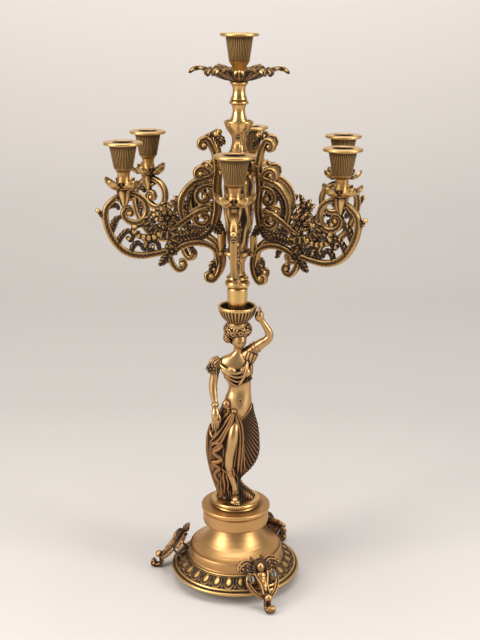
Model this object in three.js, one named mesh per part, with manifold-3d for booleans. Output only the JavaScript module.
// A seven-light brass tabletop candelabra, in millimetres, with +Z up.
// The origin is on the table under the column's axis, and the front faces -Y.
// A stepped round base on three winged feet carries a standing lady with a bowl on her head.
// A column rises from the bowl, with six openwork arms hung round it and one cup on top.
import * as THREE from "three";
import { mergeVertices } from "three/addons/utils/BufferGeometryUtils.js";
import Module from "manifold-3d";

const wasm = await Module();
wasm.setup();

// Driving dimensions
const GAP = 0.3; // clearance between touching pieces
const CANDLE_BORE_R = 11.35;
const CUP_RIM_R = 22;
const CUP_RIM_THICK = 3;
const CUP_BORE_DEPTH = 24.2;
const ARM_REACH = 134; // column axis to an arm cup's axis
const ARM_CUP_TOP = 560.4;
const TOP_CUP_TOP = 678;
const ARM_AZIMUTHS = [-1.5, 58, 111, 173.5, -124, -75]; // degrees from the front, to the viewer's right
const FOOT_AZIMUTHS = [23.5, 143.5, -96.5];

const HINGE_R = 21; // column axis to the arms' hanging pins
const PIN_R = 1.8;
const HANGER_R = 18.6; // the hanging rings' own radius, inside their six lugs
const LUG_R = 4.2;
const HANGER_THICK = 4;
const UPPER_HANGER_Z = 520.8; // underside of the upper hanging ring
const LOWER_HANGER_Z = 425;
const HUB_RING_R = 12; // bore of both hanging rings, less its clearance
const SWIVEL_ROOM = 1.2; // space round a lug for the bracket that straddles it

const PLATE_Z = 12.6; // underside of the base plate's rim
const PLATE_R = 82;
const PLATE_TOP = 30;
const DOME_TOP = 94.6;
const DRUM_BOTTOM = 76;
const DRUM_TOP = 99.9;
const PLINTH_TOP = 108.3;
const LADY_Z = PLINTH_TOP + GAP;
const BOWL_Z = 341.6;
const BOWL_TOP = 361.5;
const SLEEVE_TOP = 384;
const COLLAR_Z = 386;
const HUB_Z = 399.3;
const HUB_TOP = 547.4;
const PAN_Z = 626;

const TIE_ROD_R = 3;
const SPINDLE_ROD_R = 2.4;
const STUD_R = 2.5;
const BRACKET_THICK = 8.4;
const STEM_TOP = 507; // where an arm's stem ends under its leaf collar

const FINE = 28; // facets round a wide turned piece
const MEDIUM = 18;
const COARSE = 14;

// Materials
function metal(colour, roughness) {
  return new THREE.MeshStandardMaterial({ color: colour, roughness, metalness: 1 });
}
const polishedBrass = metal(0xc79a4b, 0.28);
const agedBrass = metal(0x7a5a2c, 0.45);
const satinBrass = metal(0xa98245, 0.38);
const steel = metal(0x9a9a98, 0.35);

// Solid modelling helpers
function solid(geometry) {
  const bare = geometry.index ? geometry.toNonIndexed() : geometry.clone();
  bare.deleteAttribute("normal");
  bare.deleteAttribute("uv");
  const merged = mergeVertices(bare, 1e-3);
  const vertProperties = merged.attributes.position.array;
  const triVerts = new Uint32Array(merged.index.array);
  const made = new wasm.Manifold(new wasm.Mesh({ numProp: 3, vertProperties, triVerts }));
  if (made.volume() > 0) return made;
  for (let i = 0; i < triVerts.length; i += 3) {
    [triVerts[i + 1], triVerts[i + 2]] = [triVerts[i + 2], triVerts[i + 1]];
  }
  return new wasm.Manifold(new wasm.Mesh({ numProp: 3, vertProperties, triVerts }));
}

function surface(made) {
  const mesh = made.getMesh();
  const geometry = new THREE.BufferGeometry();
  geometry.setAttribute("position", new THREE.BufferAttribute(mesh.vertProperties, mesh.numProp));
  geometry.setIndex(new THREE.BufferAttribute(mesh.triVerts, 1));
  geometry.computeVertexNormals();
  return geometry;
}

function join(pieces) {
  return pieces.reduce((whole, piece) => whole.add(piece));
}

function cut(whole, tools) {
  return tools.reduce((left, tool) => left.subtract(tool), whole);
}

// A profile of [radius, height] points turned about the Z axis. It closes on itself.
function turned(profile, facets, x = 0, y = 0) {
  const points = profile.map(([r, z]) => new THREE.Vector2(r, z));
  const ends = [points[0], points[points.length - 1]];
  if (ends.some((end) => end.x > 0)) points.push(points[0].clone());
  const geometry = new THREE.LatheGeometry(points, facets);
  geometry.rotateX(Math.PI / 2);
  return solid(geometry.translate(x, y, 0));
}

// An upright cylinder between two heights.
function post(radius, low, high, facets = 12, x = 0, y = 0) {
  const geometry = new THREE.CylinderGeometry(radius, radius, high - low, facets);
  geometry.rotateX(Math.PI / 2);
  return solid(geometry.translate(x, y, (low + high) / 2));
}

// A straight bar between two points, tapering from one radius to the other.
function bar(from, to, fromR, toR, facets = 6) {
  const start = new THREE.Vector3(...from);
  const end = new THREE.Vector3(...to);
  const along = end.clone().sub(start);
  const geometry = new THREE.CylinderGeometry(toR, fromR, along.length(), facets);
  const turn = new THREE.Quaternion();
  turn.setFromUnitVectors(new THREE.Vector3(0, 1, 0), along.clone().normalize());
  geometry.applyQuaternion(turn);
  const middle = start.add(end).multiplyScalar(0.5);
  return solid(geometry.translate(middle.x, middle.y, middle.z));
}

function ball(centre, size, detail = 0) {
  const geometry = new THREE.IcosahedronGeometry(1, detail);
  geometry.scale(...(Array.isArray(size) ? size : [size, size, size]));
  return solid(geometry.translate(...centre));
}

// Round-jointed limbs: each station is [x, y, z, radius].
function limb(stations) {
  const pieces = [];
  stations.forEach(([x, y, z, r], i) => {
    pieces.push(ball([x, y, z], r));
    if (i === 0) return;
    const [px, py, pz, pr] = stations[i - 1];
    pieces.push(bar([px, py, pz], [x, y, z], pr * 0.98, r * 0.98));
  });
  return join(pieces);
}

// A flat strip in the plane of radius and height, along a smooth curve through the points.
// Its width goes evenly from one value to the other, and it is centred on y = 0.
function strip(points, fromWidth, toWidth, thick = BRACKET_THICK, steps = 1) {
  const spine = new THREE.SplineCurve(points.map(([r, z]) => new THREE.Vector2(r, z)));
  const count = (points.length - 1) * steps;
  const left = [];
  const right = [];
  for (let i = 0; i <= count; i++) {
    const t = i / count;
    const half = THREE.MathUtils.lerp(fromWidth, toWidth, t) / 2;
    const at = spine.getPoint(t);
    const heading = spine.getTangent(t);
    const side = new THREE.Vector2(-heading.y, heading.x).multiplyScalar(half);
    left.push(at.clone().add(side));
    right.push(at.clone().sub(side));
  }
  return plate([...left, ...right.reverse()], thick);
}

// An outline in the plane of radius and height, given a thickness centred on y = 0.
function plate(outline, thick) {
  const points = outline.map((p) => (Array.isArray(p) ? new THREE.Vector2(...p) : p));
  const options = { depth: thick, bevelEnabled: false, steps: 1 };
  const geometry = new THREE.ExtrudeGeometry(new THREE.Shape(points), options);
  geometry.translate(0, 0, -thick / 2);
  return solid(geometry.rotateX(Math.PI / 2));
}

// A round button lying in the bracket's plane.
function button(r, z, radius, thick, facets = 6) {
  return solid(new THREE.CylinderGeometry(radius, radius, thick, facets).translate(r, 0, z));
}

// A turned form with leaning elliptical levels: each is [z, x, y, half width, half depth].
function leaning(levels, facets) {
  const profile = levels.map(([z]) => new THREE.Vector2(1, z));
  profile.unshift(new THREE.Vector2(0, levels[0][0]));
  profile.push(new THREE.Vector2(0, levels[levels.length - 1][0]));
  const geometry = new THREE.LatheGeometry(profile, facets).rotateX(Math.PI / 2);
  const position = geometry.getAttribute("position");
  for (let i = 0; i < position.count; i++) {
    const z = position.getZ(i);
    const level = levels.find((one) => Math.abs(one[0] - z) < 1e-3);
    const [, x, y, halfWidth, halfDepth] = level;
    position.setX(i, x + halfWidth * position.getX(i));
    position.setY(i, y + halfDepth * position.getY(i));
  }
  return solid(geometry);
}

function turnedAboutZ(made, degrees) {
  const geometry = surface(made);
  return solid(geometry.rotateZ(THREE.MathUtils.degToRad(degrees)));
}

const candelabra = new THREE.Group();

function add(name, made, material, parent = candelabra) {
  const mesh = new THREE.Mesh(made.isBufferGeometry ? made : surface(made), material.clone());
  mesh.name = name;
  parent.add(mesh);
  return mesh;
}

// A group whose local +X points outwards at an azimuth measured from the front.
function spoke(azimuth) {
  const group = new THREE.Group();
  group.rotation.z = THREE.MathUtils.degToRad(azimuth - 90);
  candelabra.add(group);
  return group;
}

// Base: plate, dome, drum and figure plinth, drawn together by one tie rod.
// Each foot's plate leans outwards. Its own axes are s, down the slope, and n, out of its face.
const FOOT_HEAD = [72.5, 47.5]; // radius and height of the winged figure's head
const FOOT_SLOPE = THREE.MathUtils.degToRad(49.5);
const FOOT_PLATE_THICK = 4.5;
const FOOT_SCREW_SIDE = 15;
const FOOT_SCREW_DOWN = 14;
const FOOT_SCREW_HEAD_R = 4;
const FOOT_WIDTH = 11;

function footPoint(s, n) {
  const [r, z] = FOOT_HEAD;
  const c = Math.cos(FOOT_SLOPE);
  const d = Math.sin(FOOT_SLOPE);
  return [r + s * c + n * d, z - s * d + n * c];
}

// A cylinder along the foot plate's normal, from depth n0 to n1.
function footPeg(side, s, n0, n1, radius, facets = 8) {
  const [r0, z0] = footPoint(s, n0);
  const [r1, z1] = footPoint(s, n1);
  return bar([r0, side, z0], [r1, side, z1], radius, radius, facets);
}

// An outline of [across, down] points in the foot plate's plane, centred on depth n.
function footPlate(outline, thick, n) {
  const shape = new THREE.Shape(outline.map(([across, down]) => new THREE.Vector2(down, across)));
  const geometry = new THREE.ExtrudeGeometry(shape, { depth: thick, bevelEnabled: false, steps: 1 });
  geometry.translate(0, 0, -thick / 2 + n);
  const [r, z] = FOOT_HEAD;
  return solid(geometry.rotateY(FOOT_SLOPE).translate(r, 0, z));
}

function footPlateRight(outline, thick, n) {
  return footPlate(outline.map(([across, down]) => [-across, down]), thick, n);
}

const basePlateProfile = [
  [TIE_ROD_R + GAP, PLATE_TOP],
  [60, PLATE_TOP],
  [63, 27.6],
  [75.5, 19.4],
  [77.2, 17.6],
  [78.5, 15.8],
  [79.5, 16.2],
  [PLATE_R - 1, 16.2],
  [PLATE_R, 15],
  [PLATE_R - 0.6, PLATE_Z],
  [76.5, PLATE_Z],
  [58, 24.6],
  [54, 26],
  [TIE_ROD_R + GAP, 26],
];
const screwHoles = FOOT_AZIMUTHS.flatMap((azimuth) =>
  [-1, 1].map((sign) =>
    turnedAboutZ(
      footPeg(sign * FOOT_SCREW_SIDE, FOOT_SCREW_DOWN, -24, -6, 1.6 + GAP),
      azimuth - 90,
    ),
  ),
);
add("base_plate", cut(turned(basePlateProfile, FINE), screwHoles), satinBrass);

const domeProfile = [
  [59.4, PLATE_TOP + GAP],
  [59, 32],
  [58.4, 42],
  [57.4, 43.4],
  [53, 45],
  [44, 50.5],
  [36, 59],
  [31, 68],
  [29, DRUM_BOTTOM],
  [29, DOME_TOP],
  [TIE_ROD_R + GAP, DOME_TOP],
  [TIE_ROD_R + GAP, DOME_TOP - 3],
  [26.5, DOME_TOP - 3],
  [26.5, DRUM_BOTTOM],
  [28.6, 67],
  [34, 57],
  [43, 48],
  [55.6, 41],
  [56.4, PLATE_TOP + GAP],
];
add("base_dome", turned(domeProfile, FINE), polishedBrass);

const drumProfile = [
  [41, DRUM_BOTTOM + GAP],
  [41.4, 78],
  [41.4, 92],
  [40.8, 93],
  [43.2, 95],
  [43.5, 97],
  [42.8, DRUM_TOP],
  [TIE_ROD_R + GAP, DRUM_TOP],
  [TIE_ROD_R + GAP, DOME_TOP + GAP],
  [38.8, DOME_TOP + GAP],
  [38.8, DRUM_BOTTOM + GAP],
];
add("base_drum", turned(drumProfile, FINE), satinBrass);

const plinthProfile = [
  [TIE_ROD_R + GAP, DRUM_TOP + GAP],
  [29, DRUM_TOP + GAP],
  [29, 103.6],
  [30.4, 104.4],
  [30.4, 107],
  [29.2, PLINTH_TOP],
  [TIE_ROD_R + GAP, PLINTH_TOP],
];
add("figure_plinth", turned(plinthProfile, FINE), polishedBrass);

add("tie_rod", post(TIE_ROD_R, 15, 124), steel);
add("tie_rod_washer", cut(post(12, 24.4, 25.7, 20), [post(TIE_ROD_R + GAP, 20, 30)]), steel);
add("tie_rod_nut", cut(post(6.2, 18.4, 24.1, 6), [post(TIE_ROD_R + GAP, 15, 30)]), steel);

// Feet: a winged bust on a leaning openwork plate that ends in a scroll on the table.
const wing = [
  [4, 8],
  [3.5, -2],
  [8, -8],
  [17, -9.5],
  [25, -5],
  [28.5, 1.5],
  [27, 5],
  [22, 1],
  [19, 8],
  [18, 15],
  [12, 18],
];
const strap = [
  [19.5, 13],
  [19, 20],
  [14, 31],
  [6, 39],
  [0, 41],
  [0, 36.5],
  [4, 35],
  [11, 28],
  [15, 18],
];
const shield = [
  [-6.5, 0],
  [6.5, 0],
  [9, 8],
  [6, 20],
  [4.2, 28],
  [5, 38],
  [-5, 38],
  [-4.2, 28],
  [-6, 20],
  [-9, 8],
];
const scrollOutline = [
  [94, 22],
  [102, 19.5],
  [101.5, 12],
  [104.5, 9.6],
  [109.5, 9.4],
  [112, 6],
  [110.8, 1.6],
  [107, 0],
  [101, 0],
  [97, 3],
  [95.2, 9],
  [95.5, 15],
];

function foot() {
  const setBack = -3; // the wings and straps lie behind the shield
  const standOff = -16.4; // how far behind the face the bosses reach the base plate
  const pieces = [
    footPlate(shield, FOOT_PLATE_THICK, 0),
    plate(scrollOutline, FOOT_WIDTH),
    ball([...insert(footPoint(-1, 1), 0)], [6.6, 6, 8.4]),
  ];
  for (const half of [footPlate, footPlateRight]) {
    pieces.push(half(wing, FOOT_PLATE_THICK, setBack), half(strap, FOOT_PLATE_THICK, setBack));
  }
  for (const side of [-FOOT_SCREW_SIDE, FOOT_SCREW_SIDE]) {
    pieces.push(footPeg(side, FOOT_SCREW_DOWN, standOff, -1, 5.4));
  }
  const holes = [-FOOT_SCREW_SIDE, FOOT_SCREW_SIDE].map((side) =>
    footPeg(side, FOOT_SCREW_DOWN, -30, 4, 1.6 + GAP, 6),
  );
  // Clears the foot from the base plate and the dome that it straddles.
  const room = turned(
    [
      [0, 10],
      [PLATE_R + 0.5, 10],
      [PLATE_R + 0.5, 16.6],
      [77.8, 18.2],
      [63.3, 28],
      [60.3, 30.4],
      [60.3, 44],
      [0, 60],
    ],
    FINE,
  );
  return cut(join(pieces), [...holes, room]);
}

function insert([r, z], y) {
  return [r, y, z];
}

function footScrew(side) {
  const head = footPeg(side, FOOT_SCREW_DOWN, -1 + GAP, 1.6, FOOT_SCREW_HEAD_R, 10);
  const shank = footPeg(side, FOOT_SCREW_DOWN, -20, 0, 1.6, 6);
  const slot = new THREE.BoxGeometry(1.2, 12, 1.2);
  const [r, z] = footPoint(FOOT_SCREW_DOWN, 1.6);
  slot.rotateY(FOOT_SLOPE).translate(r, side, z);
  return cut(join([head, shank]), [solid(slot)]);
}

const footShape = surface(foot());
const footScrewShapes = [-FOOT_SCREW_SIDE, FOOT_SCREW_SIDE].map((side) => surface(footScrew(side)));
FOOT_AZIMUTHS.forEach((azimuth, i) => {
  const group = spoke(azimuth);
  add(`foot_${i + 1}`, footShape, agedBrass, group);
  add(`foot_${i + 1}_screw_left`, footScrewShapes[0], steel, group);
  add(`foot_${i + 1}_screw_right`, footScrewShapes[1], steel, group);
});

// The lady, cast in one piece, with her weight on one leg and a bowl on her head.
const robe = [
  [LADY_Z, -3, 0, 22, 18],
  [125, -7, 0, 16, 13],
  [143, -9, 0, 22, 15],
  [157, -6, 0, 29.5, 17],
  [173, -4.5, 0, 32.8, 18],
  [198, -4.5, 0, 31.5, 18],
  [215, -3.5, 0, 29.5, 17],
  [226, 0, 0, 20, 15.5],
  [255, 4, 0, 13.9, 10.5],
  [268, 2, -0.5, 15.8, 12],
  [283, 0.5, -1.5, 20, 13.5],
  [293, -3, -0.5, 20, 10.5],
  [303, 1, 0, 6.5, 6.2],
  [309, 2, 0, 6.2, 6.2],
];
const lady = join([
  leaning(robe, 12),
  ball([1, 0, 320], [15, 14.5, 16], 1),
  post(11.5, 332, BOWL_Z - GAP, 16),
  limb([
    [15, 1, 290, 6.5],
    [40, 0, 322, 5.5],
    [26.5, -2, 343, 4],
  ]),
  limb([
    [26.5, -2, 343, 3.6],
    [27.2, -2, 357, 3.2],
  ]),
  limb([
    [-24, 0, 288, 8],
    [-29, -4, 256, 5.5],
    [-26, -10, 232, 4.4],
    [-27, -12, 208, 4.6],
  ]),
  limb([
    [-4, -10, 215, 9],
    [-5, -17, 186, 7.5],
    [-6, -12, 146, 6],
    [-3.4, -13, 122, 4],
    [0, -24, LADY_Z + 4, 3.6],
  ]),
]);
const ladyFloor = post(60, 90, LADY_Z, 12);
const bowlStudHole = post(STUD_R + GAP, 324, 400);
const tieRodHole = post(TIE_ROD_R + GAP, 100, 124.5);
add("lady_figure", cut(lady, [ladyFloor, bowlStudHole, tieRodHole]), agedBrass);

// The head bowl, its stud and the column that turns on it.
const bowlWall = 3;
const bowlProfile = [
  [STUD_R + GAP, BOWL_Z],
  [13.6, BOWL_Z],
  [18.4, 348.5],
  [21.4, 355],
  [23, 359],
  [23, BOWL_TOP],
  [20.4, BOWL_TOP],
  [20, 358],
  [15.6, 348.5],
  [11.6, BOWL_Z + bowlWall],
  [STUD_R + GAP, BOWL_Z + bowlWall],
];
add("head_bowl", turned(bowlProfile, MEDIUM), satinBrass);
add("bowl_stud", post(STUD_R, 324.5, 370, 12), steel);

const sleeveFoot = BOWL_Z + bowlWall + GAP;
const sleeveProfile = [
  [0, 371],
  [STUD_R + GAP, 371],
  [STUD_R + GAP, sleeveFoot],
  [8.6, sleeveFoot],
  [11.4, 359],
  [12.4, SLEEVE_TOP - 1],
  [11.6, SLEEVE_TOP],
  [0, SLEEVE_TOP],
];
add("column_sleeve", turned(sleeveProfile, MEDIUM), polishedBrass);

const collarProfile = [
  [0, SLEEVE_TOP + GAP],
  [11.6, SLEEVE_TOP + GAP],
  [14.2, COLLAR_Z],
  [15, 389],
  [14.4, 392.6],
  [11, 393.6],
  [13.2, 395.4],
  [12.6, 398],
  [10, HUB_Z - GAP],
  [0, HUB_Z - GAP],
];
add("column_collar", turned(collarProfile, MEDIUM), satinBrass);

const hubProfile = [
  [0, HUB_Z],
  [10, HUB_Z],
  [8.6, 410],
  [9, 418],
  [11.4, 422],
  [HUB_RING_R, LOWER_HANGER_Z - 1],
  [HUB_RING_R, LOWER_HANGER_Z + HANGER_THICK + 1],
  [10.4, 434],
  [12, 447],
  [15, 464],
  [16.6, 484],
  [15, 498],
  [15.4, 508],
  [HUB_RING_R, UPPER_HANGER_Z - 2],
  [HUB_RING_R, UPPER_HANGER_Z + HANGER_THICK + 1.6],
  [16.2, 531],
  [14.6, 539],
  [10.4, HUB_TOP],
  [0, HUB_TOP],
];
const hub = cut(turned(hubProfile, COARSE), [post(SPINDLE_ROD_R + GAP, 528, 560, 12)]);
add("hub_figure", hub, agedBrass);

function hangingRing(low) {
  const ring = post(HANGER_R, low, low + HANGER_THICK, 20);
  const bore = post(HUB_RING_R + GAP, low - 1, low + HANGER_THICK + 1, COARSE);
  const pins = ARM_AZIMUTHS.map((azimuth) => {
    const turn = THREE.MathUtils.degToRad(azimuth - 90);
    return [HINGE_R * Math.cos(turn), HINGE_R * Math.sin(turn)];
  });
  const lugs = pins.map(([x, y]) => post(LUG_R, low, low + HANGER_THICK, 10, x, y));
  const holes = pins.map(([x, y]) => post(PIN_R + GAP, low - 1, low + HANGER_THICK + 1, 8, x, y));
  return cut(join([ring, ...lugs]), [bore, ...holes]);
}
add("upper_hanger_ring", hangingRing(UPPER_HANGER_Z), agedBrass);
add("lower_hanger_ring", hangingRing(LOWER_HANGER_Z), agedBrass);

// The spindle: turned pieces threaded on one rod from the hub to the top cup.
const rodBore = SPINDLE_ROD_R + GAP;
const spindle = {
  goblet: [
    [rodBore, HUB_TOP + GAP],
    [10.2, HUB_TOP + GAP],
    [8, 554],
    [7.7, 562.6],
    [11.9, 568.8],
    [15.6, 574],
    [17.1, 581],
    [15.4, 581.2],
    [12.4, 578.5],
    [rodBore, 578.5],
  ],
  lower_spool: [
    [rodBore, 578.8],
    [10.2, 578.8],
    [10.2, 583.5],
    [7, 592],
    [8.6, 599.3],
    [rodBore, 599.3],
  ],
  spindle_ring: [
    [rodBore, 599.6],
    [10.4, 599.6],
    [11.2, 601.8],
    [10.2, 604],
    [rodBore, 604],
  ],
  upper_spool: [
    [rodBore, 604.3],
    [9.4, 604.3],
    [9.2, 607],
    [7.1, 614.4],
    [8.4, 621.1],
    [rodBore, 621.1],
  ],
  pan_ring: [
    [rodBore, 621.4],
    [9.6, 621.4],
    [10.4, 623.5],
    [9.6, 625.7],
    [rodBore, 625.7],
  ],
};
for (const [name, profile] of Object.entries(spindle)) {
  add(name, turned(profile, COARSE), polishedBrass);
}
add("spindle_rod", post(SPINDLE_ROD_R, 529, 648, 12), steel);

// The drip pan: a dish of leaves with long tips.
const PAN_LEAVES = 8;
const dish = turned(
  [
    [rodBore, PAN_Z],
    [11, PAN_Z],
    [24, 629],
    [39, 637.4],
    [38, 639.4],
    [22, 632.4],
    [12, 630.6],
    [rodBore, 630.6],
  ],
  24,
);
const leafTip = strip(
  [
    [34, 636.4],
    [48, 640.6],
    [55.5, 638.8],
  ],
  3.6,
  1.6,
  9,
);
const leafTips = Array.from({ length: PAN_LEAVES }, (_, i) =>
  turnedAboutZ(leafTip, (360 / PAN_LEAVES) * (i + 0.5)),
);
add("drip_pan", join([dish, ...leafTips]), agedBrass);

// Cups: a flanged socket on a waisted neck.
function cupProfile(top, bottom, neck, bodyBottom, floorHole, sink = []) {
  const floor = top - CUP_BORE_DEPTH;
  return [
    [floorHole, bottom],
    ...neck,
    [bodyBottom[0], bodyBottom[1]],
    [15, top - CUP_RIM_THICK - 1.4],
    [CUP_RIM_R - 1, top - CUP_RIM_THICK],
    [CUP_RIM_R, top - CUP_RIM_THICK / 2],
    [CUP_RIM_R - 0.8, top],
    [CANDLE_BORE_R, top],
    [CANDLE_BORE_R, floor],
    ...(sink.length ? sink : [[floorHole, floor]]),
  ];
}
const topNeck = [
  [5.6, PAN_Z + 5],
  [8.9, 642],
];
const topCup = turned(
  cupProfile(TOP_CUP_TOP, PAN_Z + 5, topNeck, [11.3, 646.7], rodBore),
  MEDIUM,
);
add("top_cup", topCup, satinBrass);

// Arms. The bracket is openwork in one plane, hung on two pins, with an upright stem for its cup.
const CUP_SCREW_R = 2;
const CUP_SCREW_HEAD_R = 3.8;
const CUP_FLOOR = ARM_CUP_TOP - CUP_BORE_DEPTH;
const CUP_SINK_DEPTH = 3; // the screw's head lies sunk below the candle's seat
const collarTop = STEM_TOP + GAP + 4;
const armNeck = [
  [7.4, collarTop + GAP],
  [7.2, 516],
  [7.5, 528.6],
];
const screwSink = [
  [CUP_SCREW_HEAD_R + GAP, CUP_FLOOR],
  [CUP_SCREW_HEAD_R + GAP, CUP_FLOOR - CUP_SINK_DEPTH],
  [CUP_SCREW_R + GAP, CUP_FLOOR - CUP_SINK_DEPTH],
];
const armCup = turned(
  cupProfile(ARM_CUP_TOP, collarTop + GAP, armNeck, [10.5, 530.8], CUP_SCREW_R + GAP, screwSink),
  COARSE,
  ARM_REACH,
);

const bracketStrips = {
  outerBow: [
    [
      [137, 500],
      [150, 489],
      [153.6, 472],
      [148.6, 452],
      [136, 435],
      [112, 427.6],
      [82, 431],
    ],
    6.4,
    6.4,
  ],
  finial: [
    [
      [153, 471],
      [164.5, 483],
    ],
    7,
    3,
  ],
  ringScroll: [
    [
      [131, 501],
      [119, 498.4],
      [109.6, 488],
      [110.4, 473.6],
      [121, 467.6],
      [131, 471.4],
    ],
    6.4,
    5,
  ],
  knottedBranch: [
    [
      [119, 467],
      [108, 451],
      [80, 434],
    ],
    6,
    7,
  ],
  bandUnderRosette: [
    [
      [110, 480],
      [99, 465],
      [84, 464],
    ],
    7,
    7,
  ],
  rosetteDrop: [
    [
      [82, 468],
      [76, 450],
      [81, 432],
    ],
    9,
    8,
  ],
  upperArc: [
    [
      [80, 474],
      [62, 500],
      [46, 517],
      [31, 517],
    ],
    7,
    6,
  ],
  diagonal: [
    [
      [78, 464],
      [60, 467],
      [31, 485],
    ],
    7,
    6.4,
  ],
  lowerArch: [
    [
      [81, 431],
      [50, 438],
      [32, 436],
      [28.8, 424],
    ],
    7,
    5.2,
  ],
  archBrace: [
    [
      [76, 450],
      [27, 448],
    ],
    8,
    7,
  ],
  stile: [
    [
      [36, 558],
      [28, 546],
      [29.4, 520],
      [32.6, 490],
      [30, 462],
      [23.4, 447],
    ],
    6.4,
    6,
  ],
  leg: [
    [
      [29.6, 428],
      [22, 406],
      [26, 395],
      [33, 398],
    ],
    5.6,
    5.4,
  ],
  lowLeaf: [
    [
      [80, 430],
      [92, 418.2],
    ],
    8,
    2.4,
  ],
};
const bracketButtons = [
  [85.7, 471, 10.5, 13],
  [80, 431.5, 7.5, BRACKET_THICK],
  [70, 413.4, 5.2, BRACKET_THICK],
  [34.6, 558.6, 7.6, BRACKET_THICK],
  [45.5, 519, 6, BRACKET_THICK],
  [128, 478, 5, BRACKET_THICK],
  [33, 399, 5.2, BRACKET_THICK],
];

function bracket() {
  const pieces = Object.values(bracketStrips).map(([points, from, to]) => strip(points, from, to));
  pieces.push(...bracketButtons.map((one) => button(...one)));
  pieces.push(strip([[80, 428], [70, 413.4]], 7, 6));
  pieces.push(strip([[34, 560], [26.8, 567.6]], 6, 2.6));
  const stem = turned(
    [
      [0, 488],
      [3.4, 488],
      [7.5, STEM_TOP],
      [0, STEM_TOP],
    ],
    10,
    ARM_REACH,
  );
  pieces.push(stem);
  pieces.push(strip([[133, 490], [129, 478]], 4.6, 4.6));
  const lugRooms = [UPPER_HANGER_Z, LOWER_HANGER_Z].map((low) =>
    post(LUG_R + SWIVEL_ROOM, low - SWIVEL_ROOM, low + HANGER_THICK + SWIVEL_ROOM, 12, HINGE_R),
  );
  const knuckles = [
    post(3.6, UPPER_HANGER_Z + HANGER_THICK + SWIVEL_ROOM, 536, 8, HINGE_R),
    strip([[20.4, 531], [28, 532]], 7, 7, 6.4, 1),
    post(3.6, LOWER_HANGER_Z + HANGER_THICK + SWIVEL_ROOM, 450, 8, HINGE_R),
    post(PIN_R, UPPER_HANGER_Z - 1.4, 530, 8, HINGE_R),
    post(PIN_R, LOWER_HANGER_Z - 1.4, 440, 8, HINGE_R),
  ];
  const screwHole = post(CUP_SCREW_R + GAP, 491.6, STEM_TOP + 2, 8, ARM_REACH);
  return cut(join([cut(join(pieces), lugRooms), ...knuckles]), [screwHole]);
}

function leafCollar() {
  const petals = 5;
  const hub = turned(
    [
      [CUP_SCREW_R + GAP, STEM_TOP + GAP],
      [9, STEM_TOP + GAP],
      [8.2, collarTop],
      [CUP_SCREW_R + GAP, collarTop],
    ],
    10,
  );
  const petal = strip(
    [
      [7, 509.6],
      [16, 509.6],
      [21, 519],
    ],
    3,
    2,
    9.6,
  );
  const ring = Array.from({ length: petals }, (_, i) => turnedAboutZ(petal, (360 / petals) * i + 36));
  return surface(join([hub, ...ring])).translate(ARM_REACH, 0, 0);
}

function cupScrew() {
  const headLow = CUP_FLOOR - CUP_SINK_DEPTH + GAP;
  const headTop = CUP_FLOOR - GAP;
  const shank = post(CUP_SCREW_R, 492, headLow + 1, 8, ARM_REACH);
  const head = post(CUP_SCREW_HEAD_R, headLow, headTop, 10, ARM_REACH);
  const slot = new THREE.BoxGeometry(12, 1, 1).translate(ARM_REACH, 0, headTop);
  return cut(join([shank, head]), [solid(slot)]);
}

const armPieces = [
  ["bracket", surface(bracket()), agedBrass],
  ["leaf_collar", leafCollar(), agedBrass],
  ["cup", surface(armCup), satinBrass],
  ["cup_screw", surface(cupScrew()), steel],
];
ARM_AZIMUTHS.forEach((azimuth, i) => {
  const group = spoke(azimuth);
  for (const [name, shape, material] of armPieces) {
    add(`arm_${i + 1}_${name}`, shape, material, group);
  }
});

export default candelabra;
